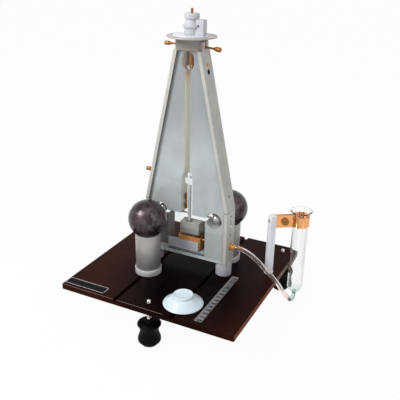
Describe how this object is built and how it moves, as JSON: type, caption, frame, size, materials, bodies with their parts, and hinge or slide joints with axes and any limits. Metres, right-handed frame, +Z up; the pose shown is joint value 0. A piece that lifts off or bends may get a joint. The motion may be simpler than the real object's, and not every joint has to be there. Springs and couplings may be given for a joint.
{
  "type": "gravitational torsion balance",
  "caption": "Torsion balance for measuring gravity: glazed tapered tower with a hanging pendulum, lead balls on sliding columns and an oil reservoir, on a levelled board.",
  "frame": {"origin": "on the floor under the feet, at the middle of the part's box in X and Y", "axes": "+Z up along the tower, +X to the right along the front edge of the board, -Y towards the front"},
  "size_m": [0.3428, 0.297, 0.5008],
  "materials": {
    "board": "dark laminate, glossy",
    "label": "black with a light border",
    "scale": "dark with light ticks",
    "foot_rubber": "matt black",
    "knob_black": "black moulding on a bright screw",
    "leg_white": "satin",
    "plate_grey": "light blue grey, satin",
    "rail": "brushed",
    "pane": "clear, polished",
    "screw_brass": "turned",
    "flange": "turned",
    "dial_white": "white, engraved",
    "head_white": "turned, satin",
    "neck": "milled",
    "rod_brass": "turned",
    "clamp_steel": "satin",
    "ribbon": "bronze ribbon",
    "mirror": "silvered",
    "stem": "turned",
    "lead": "dark, worn",
    "block": "milled",
    "copper": "copper, warm",
    "bracket": "dark grey",
    "column": "turned, satin",
    "ring": "bright turned",
    "post": "light grey",
    "strap": "copper, polished",
    "tube": "clear, fire polished",
    "hose": "clear, soft",
    "seat": "white"
  },
  "bodies": {
    "base": {"base_board": "board", "label_plate": "label", "scale_strip": "scale", "left_leg": "leg_white", "right_leg": "leg_white", "bottom_plate": "plate_grey", "floor_bar": "plate_grey", "left_cheek": "plate_grey", "right_cheek": "plate_grey", "upper_core": "plate_grey", "neck_block": "neck", "left_rail": "rail", "right_rail": "rail", "left_lower_rail": "rail", "right_lower_rail": "rail", "front_glass": "pane", "rear_glass": "pane", "fixing_screws": "screw_brass", "ring_flange": "flange", "degree_dial": "dial_white", "guide_block": "block", "oil_trough": "copper", "chamber_bracket": "bracket", "chamber_sill": "plate_grey", "inlet_pipe": "rod_brass", "hose_nozzle": "screw_brass", "lever_bracket": "flange", "support_post": "post", "clip_band": "strap", "oil_hose": "hose"},
    "front_pad": {"front_foot_pad": "foot_rubber"},
    "left_pad": {"left_foot_pad": "foot_rubber"},
    "right_pad": {"right_foot_pad": "foot_rubber"},
    "front_knob": {"front_foot_screw": "knob_black"},
    "left_knob": {"left_foot_screw": "knob_black"},
    "right_knob": {"right_foot_screw": "knob_black"},
    "head": {"turning_head": "head_white", "head_clamp": "head_white", "suspension_rod": "rod_brass", "ribbon_clamp": "clamp_steel"},
    "pendulum": {"suspension_ribbon": "ribbon", "mirror": "mirror", "pendulum_stem": "stem", "balance_weight": "rod_brass", "beam": "stem", "small_balls": "lead", "damping_paddle": "stem"},
    "left_carriage": {"left_column": "column", "left_ring": "ring"},
    "right_carriage": {"right_column": "column", "right_ring": "ring"},
    "left_sphere": {"left_ball": "lead"},
    "right_sphere": {"right_ball": "lead"},
    "lever": {"arrest_lever": "rod_brass"},
    "neck_screw": {"clamp_screw": "rod_brass"},
    "rail_screw": {"lock_screw": "rod_brass"},
    "nut": {"clip_nut": "screw_brass"},
    "reservoir": {"reservoir_tube": "tube", "outlet_elbow": "tube"},
    "seat": {"ball_seat": "seat"}
  },
  "joints": [
    {"name": "front_foot_travel", "type": "slide", "parent": "base", "child": "front_pad", "axis": [0, 0, 1], "range_m": [-0.004, 0.006]},
    {"name": "front_foot_turn", "type": "hinge", "parent": "front_pad", "child": "front_knob", "pos_m": [-0.01937, -0.129, 0.04], "axis": [0, 0, 1], "range_deg": [-1445, 2165]},
    {"name": "left_foot_travel", "type": "slide", "parent": "base", "child": "left_pad", "axis": [0, 0, 1], "range_m": [-0.004, 0.006]},
    {"name": "left_foot_turn", "type": "hinge", "parent": "left_pad", "child": "left_knob", "pos_m": [-0.14888, 0.129, 0.04], "axis": [0, 0, 1], "range_deg": [-1445, 2165]},
    {"name": "right_foot_travel", "type": "slide", "parent": "base", "child": "right_pad", "axis": [0, 0, 1], "range_m": [-0.004, 0.006]},
    {"name": "right_foot_turn", "type": "hinge", "parent": "right_pad", "child": "right_knob", "pos_m": [0.11013, 0.129, 0.04], "axis": [0, 0, 1], "range_deg": [-1445, 2165]},
    {"name": "head_turn", "type": "hinge", "parent": "base", "child": "head", "pos_m": [-0.01937, 0.0065, 0.465], "axis": [0, 0, 1], "continuous": true},
    {"name": "pendulum_swing", "type": "hinge", "parent": "base", "child": "pendulum", "pos_m": [-0.01937, 0.0065, 0.1735], "axis": [0, 0, 1], "range_deg": [-4, 4], "stiffness_Nm_per_rad": 0.0002},
    {"name": "left_carriage_slide", "type": "slide", "parent": "base", "child": "left_carriage", "axis": [0, 1, 0], "range_m": [-0.076, 0.0045]},
    {"name": "right_carriage_slide", "type": "slide", "parent": "base", "child": "right_carriage", "axis": [0, 1, 0], "range_m": [-0.0034, 0.066]},
    {"name": "left_ball_lift", "type": "slide", "parent": "left_carriage", "child": "left_sphere", "axis": [0, 0, 1], "range_m": [0, 0.08]},
    {"name": "right_ball_lift", "type": "slide", "parent": "right_carriage", "child": "right_sphere", "axis": [0, 0, 1], "range_m": [0, 0.08]},
    {"name": "lever_tilt", "type": "hinge", "parent": "base", "child": "lever", "pos_m": [-0.01038, 0.0065, 0.448], "axis": [0, 1, 0], "range_deg": [-10, 3]},
    {"name": "neck_screw_turn", "type": "hinge", "parent": "base", "child": "neck_screw", "pos_m": [-0.03938, 0.0065, 0.448], "axis": [-1, 0, 0], "continuous": true},
    {"name": "rail_screw_turn", "type": "hinge", "parent": "base", "child": "rail_screw", "pos_m": [-0.08538, 0.0065, 0.239], "axis": [-1, 0, 0], "continuous": true},
    {"name": "nut_turn", "type": "hinge", "parent": "base", "child": "nut", "pos_m": [0.13053, 0.05675, 0.1715], "axis": [0.5595, -0.8288, 0], "continuous": true},
    {"name": "reservoir_slide", "type": "slide", "parent": "base", "child": "reservoir", "axis": [0, 0, 1], "range_m": [0, 0.012], "deforming": ["oil_hose"]},
    {"name": "seat_lift", "type": "slide", "parent": "base", "child": "seat", "axis": [0, 0, 1], "range_m": [0, 0.06]}
  ],
  "couplings": [
    {"joint": "front_foot_turn", "follows": "front_foot_travel", "rad_per_m": 6283.2},
    {"joint": "left_foot_turn", "follows": "left_foot_travel", "rad_per_m": 6283.2},
    {"joint": "right_foot_turn", "follows": "right_foot_travel", "rad_per_m": 6283.2}
  ]
}
